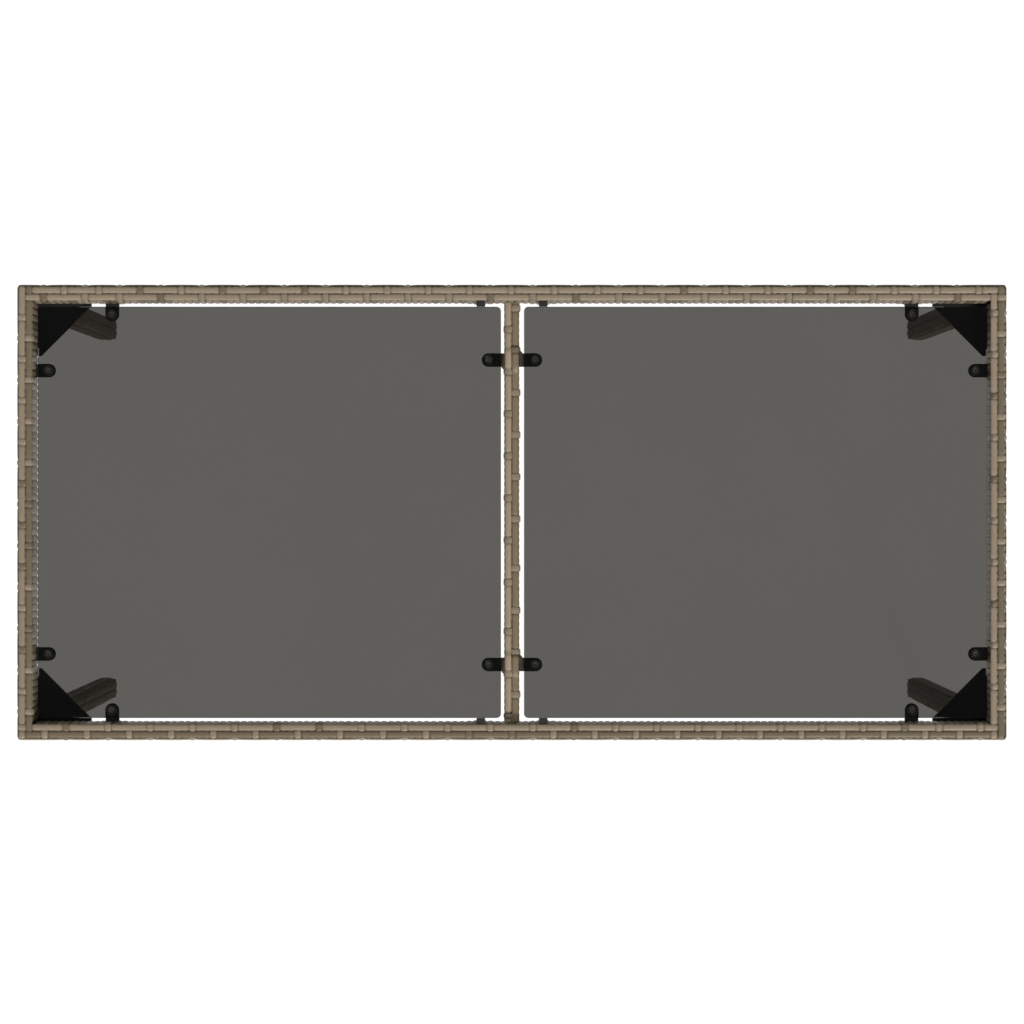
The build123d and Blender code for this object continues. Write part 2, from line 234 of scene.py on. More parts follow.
class Mesh:
    """Gathers strips into one mesh with the per-point values that the wicker material reads."""

    def __init__(self):
        self.points = []
        self.faces = []
        self.across = []
        self.along = []
        self.tint = []
        self.dark = []
        self.painted_shade = []
        self.count = 0

    def strip(self, path, up, half_width, thickness, section, tint, dark, painted_shade=0.0):
        """Sweeps a strand whose flat back follows path and whose crown faces up.

        dark says which of the two colours it has, and the last argument how much shade is painted on it,
        where it lies low in the weave or in the shade of other parts."""
        across, height = section
        widths = np.broadcast_to(half_width, len(path))[:, None] * across
        heights = np.broadcast_to(thickness, len(path))[:, None] * height
        tangent = unit(np.gradient(path, axis=0))
        side = unit(np.cross(tangent, up))
        crown = np.cross(side, tangent)
        rings = (
            path[:, None, :]
            + side[:, None, :] * widths[:, :, None]
            + crown[:, None, :] * heights[:, :, None]
        )
        n, k = len(path), len(across)
        length = np.concatenate([[0], np.cumsum(np.linalg.norm(np.diff(path, axis=0), axis=1))])
        ring = np.arange(n - 1)[:, None] * k
        here = np.arange(k)[None, :]
        after = (here + 1) % k
        quads = np.stack([ring + here, ring + after, ring + k + after, ring + k + here], axis=-1)
        quads = quads.reshape(-1, 4) + self.count
        start_cap = tuple(range(self.count + k - 1, self.count - 1, -1))
        end_cap = tuple(range(self.count + (n - 1) * k, self.count + n * k))
        self.points.append(rings.reshape(-1, 3))
        self.faces.extend(map(tuple, quads.tolist()))
        self.faces.extend([start_cap, end_cap])
        self.across.append(np.tile(across, n))
        self.along.append(np.repeat(length, k))
        self.tint.append(np.repeat(np.broadcast_to(tint, n), k))
        self.dark.append(np.repeat(np.broadcast_to(dark, n), k))
        self.painted_shade.append(np.repeat(np.broadcast_to(painted_shade, n), k))
        self.count += n * k

    def build(self, name, material):
        mesh = bpy.data.meshes.new(name)
        mesh.from_pydata((np.concatenate(self.points) * MM).tolist(), [], self.faces)
        for label in ("across", "along", "tint", "dark", "painted_shade"):
            values = getattr(self, label)
            layer = mesh.attributes.new(label, "FLOAT", "POINT")
            layer.data.foreach_set("value", np.concatenate(values).astype(np.float32))
        shell = bmesh.new()
        shell.from_mesh(mesh)
        bmesh.ops.recalc_face_normals(shell, faces=shell.faces)
        shell.to_mesh(mesh)
        shell.free()
        mesh.polygons.foreach_set("use_smooth", np.ones(len(mesh.polygons), dtype=bool))
        mesh.materials.append(material)
        piece = bpy.data.objects.new(name, mesh)
        bpy.context.scene.collection.objects.link(piece)
        return piece


# ---------------------------------------------------------------- weave

# Faces round a bar: outward normal and the direction in which a wrap crosses it, both as (a, b)
FACES = {
    "inner": ((-1, 0), (0, 1)),
    "top": ((0, 1), (1, 0)),
    "outer": ((1, 0), (0, -1)),
    "bottom": ((0, -1), (-1, 0)),
}


class Bar:
    """A tube in its own axes: u along it, a outward or sideways, b up or backward.

    halves are half its width and height. fullness says how far the middle of each face's wraps stands
    off the tube, bump_height how much more of this the inner face has beside a tab, looseness how much
    thicker the outer face's strands are, and strips where something flat lies across the top."""

    def __init__(
        self, origin, u_axis, a_axis, b_axis, halves, rounding, fullness, strips=(), bump_height=0.0,
        looseness=0.0,
    ):
        self.origin = np.array(origin, float)
        self.axes = np.array([u_axis, a_axis, b_axis], float)
        self.halves = np.array(halves, float)
        self.rounding = rounding
        self.fullness = fullness
        self.strips = strips
        self.bump_height = bump_height
        self.looseness = looseness

    def half(self, direction):
        """Distance from the tube's middle to its face in a direction given as (a, b)."""
        return float(np.abs(direction) @ self.halves)

    def flat(self, direction):
        """Distance from the middle to where the rounding of the corners starts."""
        return self.half(direction) - self.rounding

    def world(self, local):
        return self.origin + np.asarray(local) @ self.axes

    def direction(self, local):
        return np.asarray(local) @ self.axes

    def bulge(self, face, lateral):
        _, way = FACES[face]
        return self.fullness.get(face, 0.0) * np.cos(lateral / self.flat(way) * QUARTER_TURN)

    def strand_height(self, face):
        """Thickness of the long strands on a face."""
        return STRAND_THICKNESS + (self.looseness if face == "outer" else 0.0)

    def raised(self, u):
        """How far the weave is lifted where it passes over the strips."""
        lifts = [1 - smooth_step((np.abs(u - strip) - STRIP_HALF) / STRIP_SLOPE) for strip in self.strips]
        return STRIP_THICKNESS * np.max(lifts, axis=0) if lifts else np.zeros_like(u)


class Row:
    """A row of long strands on one face. Its phase says which wraps pass over it.

    After the wrap step_after, the wraps that do so come one later. tucks are the ends at which the
    strand passes under a row of the crossing rail."""

    def __init__(
        self, face, lateral, phase, dark=0, tucks=(), step_after=None, half_width=STRAND_HALF_WIDTH,
        tint=0.0,
    ):
        self.face = face
        self.half_width = half_width
        self.tint = tint
        self.lateral = lateral
        self.phase = phase
        self.dark = dark
        self.tucks = list(tucks)
        self.step_after = step_after

    def under(self, wrap, first, skip):
        """True if this wrap passes over the row."""
        count = wrap - first
        if skip is not None and wrap < skip:
            count -= 1
        if self.step_after is not None and wrap > self.step_after:
            count -= 1
        return count % CYCLE == self.phase


def wraps_over(rows, count, first, skip=None):
    """For each row, the wraps that pass over it, counted from first and one off before skip."""
    return {id(row): [w for w in range(count) if row.under(w, first, skip)] for row in rows}


class Run(NamedTuple):
    """A wrap's run over one face: the places across it, and how far it stands off the steel there."""

    face: str
    normal: np.ndarray
    way: np.ndarray
    along: np.ndarray
    lift: np.ndarray


def wrap_lift(lateral, wrap, rows, face, over):
    """Which parts of a wrap on a face stand off the tube because they pass over long strands, 0 to 1."""
    lift = np.zeros_like(lateral)
    for row in rows:
        if row.face == face and wrap in over[id(row)]:
            away = np.abs(lateral - row.lateral)
            lift = np.maximum(lift, 1 - smooth_step((away - CROSSING_START) / CROSSING_LENGTH))
    return lift


def carried(run, before, after):
    """The run over a face without rows, held off the steel near the faces on either side."""
    from_start = before.lift[-1] * (1 - smooth_step((run.along - run.along[0]) / CARRY))
    from_end = after.lift[0] * (1 - smooth_step((run.along[-1] - run.along) / CARRY))
    return run._replace(lift=np.maximum(run.lift, np.maximum(from_start, from_end)))


def thinned(run):
    """The run without its middle points where it lies straight."""
    ends = [0, 1, -2, -1]
    if run.face == "bottom" or len(run.along) <= len(ends) or np.ptp(run.lift) > 0:
        return run
    return run._replace(along=run.along[ends], lift=run.lift[ends])


def wrap_runs(bar, wrap, beside, rows, over, face_steps, bare):
    """A wrap's runs over the four faces. beside says how near to a tab it is, from 0 to 1."""
    runs = []
    for face, (normal, way) in FACES.items():
        edge = bar.flat(way)
        along = np.linspace(-edge, edge, face_steps[face])
        lift = wrap_lift(along * sum(way), wrap, rows, face, over) * bar.strand_height(face)
        lift = lift + bar.bulge(face, along)
        if face == "inner":
            lift = lift + bar.bump_height * beside * np.cos(along / edge * QUARTER_TURN)
        runs.append(Run(face, np.array(normal), np.array(way), along, lift))
    return [
        thinned(carried(run, before, after) if run.face in bare else run)
        for before, run, after in zip(runs[-1:] + runs[:-1], runs, runs[1:] + runs[:1])
    ]


def wrap_corner(bar, run, following):
    """A wrap's bend from one face to the next and the directions in which it faces, as (a, b)."""
    turn = np.linspace(0, QUARTER_TURN, CORNER_STEPS + 2)[1:-1]
    out = run.normal * np.cos(turn)[:, None] + run.way * np.sin(turn)[:, None]
    end_lift, next_lift = run.lift[-1], following.lift[0]
    radius = bar.rounding + end_lift + (next_lift - end_lift) * smooth_step(turn / QUARTER_TURN)
    return (run.normal + run.way) * (bar.halves - bar.rounding) + out * radius[:, None], out


def add_wraps(mesh, bar, places, rows, over, face_steps, bumps=(), section=WRAP_SECTION, closed=False):
    """Strands wound round the bar. They move on to their next turn on the bottom face, and the last
    turn runs into itself if it is closed.

    bumps are the places where the wraps bulge round something welded to the inner face."""
    pitches = np.append(np.diff(places), places[-1] - places[-2])
    bare = {"inner", "outer"} - {row.face for row in rows}
    path, up, values = [], [], []
    for wrap, (place, pitch) in enumerate(zip(places, pitches)):
        advance = 0.0 if closed and wrap == len(places) - 1 else pitch
        tint = rng.normal(0, WRAP_TINT_SPREAD)
        dark = rng.random() < DARK_WRAPS
        beside = max([1 - smooth_step(abs(place - bump) / BUMP_REACH) for bump in bumps], default=0.0)
        runs = wrap_runs(bar, wrap, beside, rows, over, face_steps, bare)
        for run, following in zip(runs, runs[1:] + runs[:1]):
            moved = advance if run.face == "bottom" else 0.0
            moving = moved * smooth_step((run.along / run.along[-1] + 1) / 2)
            height = bar.half(run.normal) + run.lift
            straight = run.normal * height[:, None] + run.way * run.along[:, None]
            corner, out = wrap_corner(bar, run, following)
            path.append(np.column_stack([place + moving, straight]))
            path.append(np.column_stack([np.full(len(corner), place + moved), corner]))
            up.append(np.tile(run.normal, (len(straight), 1)))
            up.append(out)
            # A rail's inner face, its one bare face, gets painted shade on its wraps
            painted_shade = INNER_FACE_PAINTED_SHADE if bare == {run.face} else 0.0
            stations = len(straight) + len(corner)
            values.append(np.tile([tint, dark, painted_shade, WRAP_SHARE * pitch], (stations, 1)))
    path = np.concatenate(path)
    path[:, 2] += bar.raised(path[:, 0]) * np.clip((path[:, 2] / bar.halves[1] + 1) / 2, 0, 1)
    up = np.concatenate(up)
    up = np.column_stack([np.zeros(len(up)), up])
    tint, dark, painted_shade, half_width = np.concatenate(values).T
    mesh.strip(bar.world(path), bar.direction(up), half_width, WRAP_THICKNESS, section, tint, dark, painted_shade)


def strand_level(u, tucks):
    """Height of a long strand's back over the tube, how much it arches, and how much shade is painted on it
    near the wraps that pass over it.

    The height is nothing where the strand is tucked and one wrap where it floats."""
    away = np.min(np.abs(u[:, None] - np.array(tucks)[None, :]), axis=1)
    rise = smooth_step((away - RISE_START) / RISE_LENGTH)
    arch = smooth_step((away - ARCH_START) / ARCH_LENGTH)
    return WRAP_THICKNESS * rise, arch, 1 - smooth_step((away - SHADE_START) / SHADE_LENGTH)


def slow_noise(u, size, spacing=60.0):
    """Smooth random wander along a strand."""
    knots = np.arange(u.min() - spacing, u.max() + 2 * spacing, spacing)
    return np.interp(u, knots, rng.normal(0, size, len(knots)))


def add_row(mesh, bar, row, start, end, tucks, start_turn=None, end_turn=None):
    """A long strand along one face, with a turn round the bar's end where it isn't tucked."""
    normal = np.array(FACES[row.face][0], float)
    lateral_axis = np.abs(normal[::-1])
    u = np.linspace(start, end, int((end - start) / STRAND_STEP) + 1)
    # Painted shade where the strand dips under the wraps
    level, arch, painted_shade = strand_level(u, tucks)
    level = level + bar.bulge(row.face, row.lateral)
    thickness = bar.strand_height(row.face) + FLOAT_ARCH * arch
    lateral = row.lateral + slow_noise(u, WANDER)
    flat = (bar.half(normal) + level)[:, None] * normal + lateral[:, None] * lateral_axis
    path = np.column_stack([u, flat])
    if row.face == "top":
        path[:, 2] += bar.raised(u)
    up = np.tile([0, *normal], (len(u), 1))
    before = after = 0
    if start_turn:
        more_path, more_up = start_turn(path[0], normal, -1)
        before = len(more_path)
        path = np.concatenate([more_path[::-1], path])
        up = np.concatenate([more_up[::-1], up])
    if end_turn:
        more_path, more_up = end_turn(path[-1], normal, 1)
        after = len(more_path)
        path = np.concatenate([path, more_path])
        up = np.concatenate([up, more_up])
    painted_shade = np.pad(painted_shade, (before, after))
    thickness = np.pad(thickness, (before, after), mode="edge")
    tint = np.interp(np.arange(len(path)), [0, len(path)], rng.normal(0, ROW_TINT_DRIFT, 2))
    tint = tint + rng.normal(0, ROW_TINT_SPREAD) + row.tint
    mesh.strip(
        bar.world(path), bar.direction(up), row.half_width, thickness, STRAND_SECTION, tint, row.dark, painted_shade,
    )


def fold_down(bar):
    """Turn for a top strand's end: over the frame's edge and in behind the side strands."""

    def turn(last, normal, way):
        angle = np.linspace(0, QUARTER_TURN, 9)[1:]
        level = (last[1:] @ normal - bar.half(normal)) * (1 - smooth_step(angle / QUARTER_TURN))
        radius = bar.rounding + level
        arc = np.column_stack([way * radius * np.sin(angle), -bar.rounding + radius * np.cos(angle)])
        tail = np.linspace(0, 1, 4)[1:, None] * np.array([[0, -FOLD_TAIL]])
        shape = np.concatenate([arc, arc[-1] + tail])
        height = last[1:] @ normal
        path = np.tile(last, (len(shape), 1))
        path[:, 0] += shape[:, 0]
        path[:, 1:] += (bar.half(normal) + shape[:, 1] - height)[:, None] * normal
        out = np.concatenate([angle, np.full(len(tail), QUARTER_TURN)])
        up = np.column_stack([way * np.sin(out), np.cos(out)[:, None] * normal])
        return path, up

    return turn


def round_corner(bar):
    """Turn for a side strand's end: half of the bend round the frame's upright corner."""

    def turn(last, normal, way):
        angle = np.linspace(0, QUARTER_TURN / 2, 7)[1:]
        radius = bar.rounding + (last[1:] @ normal - bar.half(normal))
        path = np.tile(last, (len(angle), 1))
        path[:, 0] += way * radius * np.sin(angle)
        path[:, 1:] += (radius * np.cos(angle) - radius)[:, None] * normal
        up = np.column_stack([way * np.sin(angle), np.cos(angle)[:, None] * normal])
        return path, up

    return turn


def smooth_curve(points, steps=8):
    """Smooth curve through points, with this many steps from each to the next."""
    padded = np.concatenate([2 * points[:1] - points[1:2], points, 2 * points[-1:] - points[-2:-1]])
    part = np.linspace(0, 1, steps, endpoint=False)[:, None]
    path = []
    for before, start, stop, after in zip(padded, padded[1:], padded[2:], padded[3:]):
        bend = (2 * before - 5 * start + 4 * stop - after) * part**2
        twist = (3 * start - before - 3 * stop + after) * part**3
        path.append(start + ((stop - before) * part + bend + twist) / 2)
    return np.concatenate([*path, points[-1:]])


def add_loose_strand(mesh, bar, local, lean, depth, half_width):
    """A short dark strand through local points of a bar, with its crown leaning and its painted shade as told
    at each.
    """
    path = smooth_curve(local)
    station = np.linspace(0, len(local) - 1, len(path))
    up = np.column_stack([np.interp(station, range(len(local)), lean[:, axis]) for axis in range(3)])
    painted_shade = np.interp(station, range(len(local)), depth)
    mesh.strip(
        bar.world(path), bar.direction(unit(up)), half_width, STRAND_THICKNESS, WRAP_SECTION,
        rng.normal(0, WRAP_TINT_SPREAD), 1.0, painted_shade,
    )


def add_arris(mesh, bar, free, reach):
    """Strands along a rail's upper outer edge at its ends, where no wraps cover the steel."""
    for way in (-1, 1):
        stations = way * np.linspace(free - ARRIS_OVERLAP, reach, ARRIS_POINTS)
        local = np.column_stack([stations, np.tile(bar.halves - ARRIS_SUNK, (ARRIS_POINTS, 1))])
        lean = np.tile([0.0, 1.0, 1.0], (ARRIS_POINTS, 1))
        add_loose_strand(mesh, bar, local, lean, [ARRIS_PAINTED_SHADE] * ARRIS_POINTS, ARRIS_HALF_WIDTH)


def weave_rail(
    name, tube, u_axis, a_axis, corner, bumps, crossing_shift, material, *,
    wraps, first, skip, ends, drift, dark, fullness, bump_height, looseness, shift,
):
    """Weave of one rail. corner is how far its end corner is from its middle, over tube centre lines,
    and bumps are the places of what is welded to its inner face.

    ends says which way the top rows' ends go, drift how far the wraps lie from even spacing at the
    DRIFT_STATIONS, and dark names the rows of the darker colour. shift moves the top rows sideways,
    and crossing_shift says how far those of the rail at each end are moved along this one."""
    low, high = box_mm(tube)
    halves = ((high - low) @ np.abs(a_axis) / 2, (high - low)[2] / 2)
    bar = Bar(
        middle_of(tube), u_axis, a_axis, (0, 0, 1), halves, TUBE_ROUNDING, {"inner": fullness},
        bump_height=bump_height, looseness=looseness,
    )
    free = corner - halves[0] - WRAP_THICKNESS
    reach = corner + bar.flat((1, 0))
    part = np.linspace(0, 1, wraps)
    spaced = -free + RAIL_START_GAP + (2 * free - RAIL_START_GAP - RAIL_END_GAP) * part
    places = spaced + np.interp(part, DRIFT_STATIONS, drift)
    rows = [
        Row("top", ROW_OFFSET + shift, 0, "top_outer" in dark, ends["top_outer"]),
        Row("top", -ROW_OFFSET + shift, HALF_CYCLE, "top_inner" in dark, ends["top_inner"]),
        Row("outer", SIDE_ROW_OFFSET, HALF_CYCLE, "upper_side" in dark),
        Row("outer", 0.0, 0, "middle_side" in dark),
        Row("outer", -SIDE_ROW_OFFSET, HALF_CYCLE, "lower_side" in dark),
    ]
    over = wraps_over(rows, wraps, first, skip)
    crossing_rows = {"near": corner - ROW_OFFSET, "far": corner + ROW_OFFSET}
    mesh = Mesh()
    add_wraps(mesh, bar, places, rows, over, RAIL_STEPS, bumps)
    for row in rows:
        tucks = [places[w] for w in over[id(row)]]
        if row.face == "outer":
            turn = round_corner(bar)
            add_row(mesh, bar, row, -reach, reach, tucks, turn, turn)
            continue
        tucks += [end * (crossing_rows[at] + crossing_shift[end]) for end, at in row.tucks]
        folds = [None if (end, "far") in row.tucks else fold_down(bar) for end in (-1, 1)]
        tucked_end = crossing_rows["far"] + TUCKED_TAIL
        start = -reach if folds[0] else -tucked_end
        stop = reach if folds[1] else tucked_end
        add_row(mesh, bar, row, start, stop, tucks, *folds)
    add_arris(mesh, bar, free, reach)
    return mesh.build(name, material)


def weave_cross_bar(name, tube, material):
    """Weave of the cross bar, with a dark strand bound over each strip's root on both sides."""
    low, high = box_mm(tube)
    halves = (high - low)[[0, 2]] / 2
    strips = [-middle_of(f"cross_bar_strip_{side}")[1] for side in ("back", "front")]
    axes = ((0, -1, 0), (1, 0, 0), (0, 0, 1))
    bar = Bar(middle_of(tube), *axes, halves, TUBE_ROUNDING, {"inner": BAR_FULLNESS}, strips)
    free = (high - low)[1] / 2 - WRAP_THICKNESS
    spaced = np.linspace(-free - BAR_BACK_OVERRUN, free + BAR_FRONT_OVERRUN, BAR_WRAPS)
    places = np.clip(spaced, -free + BAR_END_GAP, free - BAR_END_GAP)
    # The cross bar's strands get a lighter step of painted light
    shape = {"half_width": BAR_STRAND_HALF_WIDTH, "tint": BAR_PAINTED_LIGHT}
    rows = [
        Row("top", BAR_ROW_OFFSET + BAR_ROW_SHIFT, 0, 1, step_after=34, **shape),
        Row("top", -BAR_ROW_OFFSET + BAR_ROW_SHIFT, HALF_CYCLE, 0, step_after=43, **shape),
    ]
    over = wraps_over(rows, len(places), first=1)
    mesh = Mesh()
    add_wraps(mesh, bar, places, rows, over, BAR_STEPS, section=BAR_WRAP_SECTION)
    for row in rows:
        tucks = [places[w] for w in over[id(row)]]
        add_row(mesh, bar, row, -free, free, tucks)
    for strip in strips:
        for way in (-1, 1):
            local = np.array(ROOT_STRAND) * (way, way, 1) + (strip, 0, 0)
            lean = np.array(ROOT_LEAN) * (way, way, 1)
            add_loose_strand(mesh, bar, local, lean, ROOT_PAINTED_SHADE, ROOT_HALF_WIDTH)
    return mesh.build(name, material)


def weave_leg(name, tube, material):
    """Weave of a leg, from its foot up to its plate, with two rows on each face.

    On two faces the hem's wraps at the foot pass over the rows, and on the others under them."""
    low, high = box_mm(tube)
    foot = np.array([*((low + high) / 2)[:2], low[2]])
    length = high[2] - low[2]
    fullness = {"top": LEG_FULLNESS, "bottom": LEG_FULLNESS}
    bar = Bar(foot, (0, 0, 1), (1, 0, 0), (0, 1, 0), (high - low)[:2] / 2, LEG_ROUNDING, fullness)
    places = np.linspace(LEG_FOOT_GAP, length - LEG_TOP_GAP, LEG_WRAPS)
    # The legs' strands get a darker step of painted shade
    shape = {"half_width": LEG_STRAND_HALF_WIDTH, "tint": LEG_PAINTED_SHADE}
    rows = []
    for face in FACES:
        sign = 1 if face in ("top", "inner") else -1
        rows.append(Row(face, -sign * LEG_ROW_OFFSET, 0, rng.random() < DARK_ROWS, **shape))
        rows.append(Row(face, sign * LEG_ROW_OFFSET, HALF_CYCLE, rng.random() < DARK_ROWS, **shape))
    over = wraps_over(rows, len(places), first=HEM_WRAPS + 2)
    for row in rows:
        if row.face in ("top", "bottom"):
            above = [w for w in over[id(row)] if w > HEM_WRAPS + 1]
            over[id(row)] = [*range(HEM_WRAPS), *above]
        else:
            over[id(row)] = [w for w in over[id(row)] if w > HEM_WRAPS]
    mesh = Mesh()
    add_wraps(mesh, bar, places, rows, over, LEG_STEPS, closed=True)
    for row in rows:
        tucks = [places[w] for w in over[id(row)]]
        add_row(mesh, bar, row, LEG_ROW_FOOT_GAP, length - LEG_ROW_TOP_GAP, tucks)
    return mesh.build(name, material)


# ---------------------------------------------------------------- materials


def new_material(name):
    material = bpy.data.materials.new(name)
    material.use_nodes = True
    nodes = material.node_tree.nodes
    return material, nodes, material.node_tree.links, nodes["Principled BSDF"]


def node(nodes, kind, **values):
    """A shader node with its settings and unlinked inputs filled in."""
    made = nodes.new(kind)
    for key, value in values.items():
        if hasattr(made, key):
            setattr(made, key, value)
        else:
            made.inputs[key.replace("_", " ")].default_value = value
    return made


def blend(nodes, links, factor, first, second, mode="MIX"):
    """Colour mix of two sockets or colours by a socket or number."""
    mix = nodes.new("ShaderNodeMix")
    mix.data_type = "RGBA"
    mix.blend_type = mode
    for socket, value in ((mix.inputs[0], factor), (mix.inputs[6], first), (mix.inputs[7], second)):
        if isinstance(value, bpy.types.NodeSocket):
            links.new(value, socket)
        else:
            socket.default_value = value
    return mix.outputs[2]


def arithmetic(nodes, links, operation, *values):
    """Math node over sockets or numbers."""
    made = nodes.new("ShaderNodeMath")
    made.operation = operation
    for socket, value in zip(made.inputs, values):
        if isinstance(value, bpy.types.NodeSocket):
            links.new(value, socket)
        else:
            socket.default_value = value
    return made.outputs[0]


LIGHT_STRAND = (0.200, 0.157, 0.107)
DARK_STRAND = (0.118, 0.090, 0.055)

# What changes a strand's brightness: its tint's steps, its streaks, and painted shade along its edges and
# where it lies low in the weave or in the shade of other parts
TINT_STEP = 0.05
DULLEST_STREAK = 0.78
STREAK_CONTRAST = 0.44
EDGE_PAINTED_SHADE = 0.38
PAINTED_SHADE_STRENGTH = 0.6

# The streaks' stretch along a strand, and the fine ribs across it
STREAK_STRETCH = 0.03
RIB_PHASES = 22.0
RIB_HEIGHT = 0.35


def wicker_material():
    """Ribbed matt plastic strand in two grey-browns, with painted shade along its edges, where it is tucked
    and where other parts shade it.
    """
    material, nodes, links, shader = new_material("wicker")
    read = {
        name: node(nodes, "ShaderNodeAttribute", attribute_name=name).outputs["Fac"]
        for name in ("across", "along", "tint", "dark", "painted_shade")
    }
    place = node(nodes, "ShaderNodeCombineXYZ")
    links.new(read["across"], place.inputs["X"])
    links.new(arithmetic(nodes, links, "MULTIPLY", read["along"], STREAK_STRETCH), place.inputs["Y"])
    links.new(read["tint"], place.inputs["Z"])
    streaks = node(nodes, "ShaderNodeTexNoise", Scale=3.2, Detail=4.0, Roughness=0.6)
    links.new(place.outputs[0], streaks.inputs["Vector"])
    base = blend(nodes, links, read["dark"], (*LIGHT_STRAND, 1), (*DARK_STRAND, 1))
    spread = arithmetic(nodes, links, "MULTIPLY_ADD", read["tint"], TINT_STEP, DULLEST_STREAK)
    value = arithmetic(nodes, links, "MULTIPLY_ADD", streaks.outputs["Fac"], STREAK_CONTRAST, spread)
    edge = arithmetic(nodes, links, "POWER", arithmetic(nodes, links, "ABSOLUTE", read["across"]), 6.0)
    edge_painted_shade = arithmetic(nodes, links, "MULTIPLY_ADD", edge, -EDGE_PAINTED_SHADE, 1.0)
    painted_shade_factor = arithmetic(nodes, links, "MULTIPLY_ADD", read["painted_shade"], -PAINTED_SHADE_STRENGTH, 1.0)
    value = arithmetic(nodes, links, "MULTIPLY", value, arithmetic(nodes, links, "MULTIPLY", edge_painted_shade, painted_shade_factor))
    grey = node(nodes, "ShaderNodeCombineColor")
    for channel in ("Red", "Green", "Blue"):
        links.new(value, grey.inputs[channel])
    colour = blend(nodes, links, 1.0, base, grey.outputs[0], "MULTIPLY")
    links.new(colour, shader.inputs["Base Color"])
    wave = arithmetic(nodes, links, "SINE", arithmetic(nodes, links, "MULTIPLY", read["across"], RIB_PHASES))
    height = arithmetic(nodes, links, "MULTIPLY_ADD", wave, RIB_HEIGHT, streaks.outputs["Fac"])
    bump = node(nodes, "ShaderNodeBump", Strength=0.5, Distance=0.0001)
    links.new(height, bump.inputs["Height"])
    links.new(bump.outputs["Normal"], shader.inputs["Normal"])
    gloss = node(nodes, "ShaderNodeMapRange", To_Min=0.42, To_Max=0.62)
    links.new(streaks.outputs["Fac"], gloss.inputs["Value"])
    links.new(gloss.outputs["Result"], shader.inputs["Roughness"])
    shader.inputs["Specular IOR Level"].default_value = 0.3
    return material


def smoked_glass():
    """Grey-tinted clear glass, with faint clouds in the tint."""
    material, nodes, links, shader = new_material("smoked_glass")
    places = node(nodes, "ShaderNodeTexCoord")
    clouds = node(nodes, "ShaderNodeTexNoise", Scale=6.0, Detail=3.0)
    links.new(places.outputs["Object"], clouds.inputs["Vector"])
    tint = blend(nodes, links, clouds.outputs["Fac"], (0.112, 0.109, 0.099, 1), (0.119, 0.116, 0.106, 1))
    links.new(tint, shader.inputs["Base Color"])
    shader.inputs["Transmission Weight"].default_value = 1.0
    shader.inputs["Roughness"].default_value = 0.0
    shader.inputs["IOR"].default_value = 1.5
    return material


def speckled(name, colour, roughness, scale, depth, metallic=0.0, specular=0.5):
    """Finish with fine grain in its bump and soft clouds in its colour and roughness."""
    material, nodes, links, shader = new_material(name)
    places = node(nodes, "ShaderNodeTexCoord")
    grain = node(nodes, "ShaderNodeTexNoise", Scale=scale, Detail=3.0)
    clouds = node(nodes, "ShaderNodeTexNoise", Scale=scale / 25, Detail=3.0)
    links.new(places.outputs["Object"], grain.inputs["Vector"])
    links.new(places.outputs["Object"], clouds.inputs["Vector"])
    dull = (*[c * 0.8 for c in colour], 1)
    clear = (*[c * 1.2 for c in colour], 1)
    links.new(blend(nodes, links, clouds.outputs["Fac"], dull, clear), shader.inputs["Base Color"])
    bump = node(nodes, "ShaderNodeBump", Strength=0.3, Distance=depth)
    links.new(grain.outputs["Fac"], bump.inputs["Height"])
    links.new(bump.outputs["Normal"], shader.inputs["Normal"])
    gloss = node(nodes, "ShaderNodeMapRange", To_Min=roughness * 0.8, To_Max=roughness * 1.2)
    links.new(clouds.outputs["Fac"], gloss.inputs["Value"])
    links.new(gloss.outputs["Result"], shader.inputs["Roughness"])
    shader.inputs["Metallic"].default_value = metallic
    shader.inputs["Specular IOR Level"].default_value = specular
    return material


def cup_material():
    """Cloudy soft plastic that lets light through its stem, with painted light and shade in rings round its
    axis.
    """
    material, nodes, links, shader = new_material("soft_cup")
    painted_light = node(nodes, "ShaderNodeAttribute", attribute_name="painted_light").outputs["Fac"]
    places = node(nodes, "ShaderNodeTexCoord")
    clouds = node(nodes, "ShaderNodeTexNoise", Scale=900.0, Detail=3.0)
    links.new(places.outputs["Object"], clouds.inputs["Vector"])
    cloudy = arithmetic(nodes, links, "MULTIPLY_ADD", clouds.outputs["Fac"], 0.3, 0.85)
    value = arithmetic(nodes, links, "MULTIPLY", painted_light, cloudy)
    colour = blend(nodes, links, value, (0.03, 0.03, 0.028, 1), (0.9, 0.9, 0.86, 1))
    links.new(colour, shader.inputs["Base Color"])
    gloss = node(nodes, "ShaderNodeMapRange", To_Min=0.35, To_Max=0.5)
    links.new(clouds.outputs["Fac"], gloss.inputs["Value"])
    links.new(gloss.outputs["Result"], shader.inputs["Roughness"])
    shader.inputs["Transmission Weight"].default_value = 0.6
    shader.inputs["IOR"].default_value = 1.4
    return material


# ---------------------------------------------------------------- cups

# Half profile of a soft cup as (radius, height over its tab), from the barb's tip up over the rim
# and down into the hollow
CUP_PROFILE = [
    (0.0, -4.1), (3.2, -4.1), (3.9, -3.5), (4.0, -3.0), (3.7, -2.6), (3.1, -2.5), (3.1, 0.0), (5.0, 0.0),
    (5.5, 0.25), (5.6, 0.8), (5.35, 1.5), (5.35, 2.1), (5.6, 2.6), (5.55, 2.95), (5.2, 3.0), (4.8, 2.8),
    (4.1, 2.35), (3.4, 2.0), (2.9, 1.85), (2.5, 1.9), (2.1, 1.75), (1.4, 1.35), (0.8, 1.2), (0.0, 1.2),
]
CUP_SEGMENTS = 48

